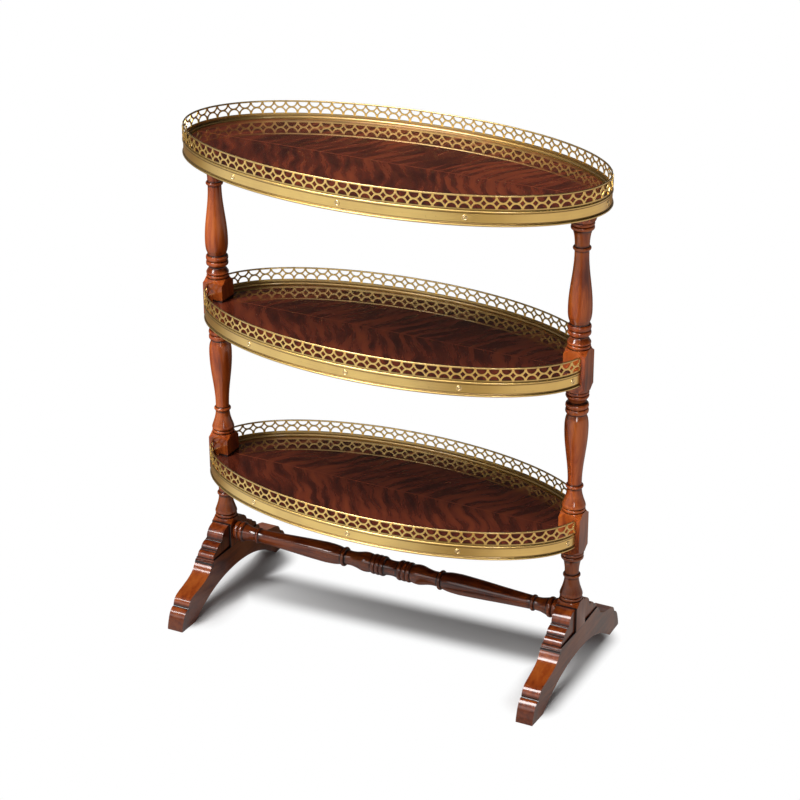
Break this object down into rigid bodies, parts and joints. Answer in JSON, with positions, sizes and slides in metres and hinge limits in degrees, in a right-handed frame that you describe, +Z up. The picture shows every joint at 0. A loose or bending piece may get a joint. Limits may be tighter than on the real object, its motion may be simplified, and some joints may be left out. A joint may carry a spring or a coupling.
{
  "type": "side table",
  "caption": "Tiered oval side table: veneered shelves in pierced brass galleries between turned posts on arched feet, tied by a turned stretcher.",
  "frame": {"origin": "on the floor, below the middle of the table", "axes": "+Z up, X along the ovals from post to post, Y across them with the front at -Y"},
  "size_m": [0.6474, 0.3216, 0.762],
  "materials": {
    "post_wood": "polished reddish brown hardwood, darker in the grooves",
    "veneer": "glossy dark red-brown figured veneer, mirrored at the middle seam",
    "board": "plain board, stained underneath",
    "brass": "satin brass with an aged tone",
    "dowel": "plain turned hardwood"
  },
  "bodies": {
    "root": {"top_shelf_board": "board", "top_veneer_front": "veneer", "top_veneer_back": "veneer", "top_edge_band": "brass", "top_gallery": "brass", "top_gallery_rail": "brass", "middle_shelf_board": "board", "middle_veneer_front": "veneer", "middle_veneer_back": "veneer", "middle_edge_band_front": "brass", "middle_gallery_front": "brass", "middle_gallery_rail_front": "brass", "middle_edge_band_back": "brass", "middle_gallery_back": "brass", "middle_gallery_rail_back": "brass", "middle_dowel_left_front": "dowel", "middle_dowel_left_back": "dowel", "middle_dowel_right_front": "dowel", "middle_dowel_right_back": "dowel", "bottom_shelf_board": "board", "bottom_veneer_front": "veneer", "bottom_veneer_back": "veneer", "bottom_edge_band_front": "brass", "bottom_gallery_front": "brass", "bottom_gallery_rail_front": "brass", "bottom_edge_band_back": "brass", "bottom_gallery_back": "brass", "bottom_gallery_rail_back": "brass", "bottom_dowel_left_front": "dowel", "bottom_dowel_left_back": "dowel", "bottom_dowel_right_front": "dowel", "bottom_dowel_right_back": "dowel", "left_post": "post_wood", "left_foot": "post_wood", "left_foot_bracket_front": "post_wood", "left_foot_bracket_back": "post_wood", "right_post": "post_wood", "right_foot": "post_wood", "right_foot_bracket_front": "post_wood", "right_foot_bracket_back": "post_wood", "stretcher": "post_wood"}
  },
  "joints": []
}
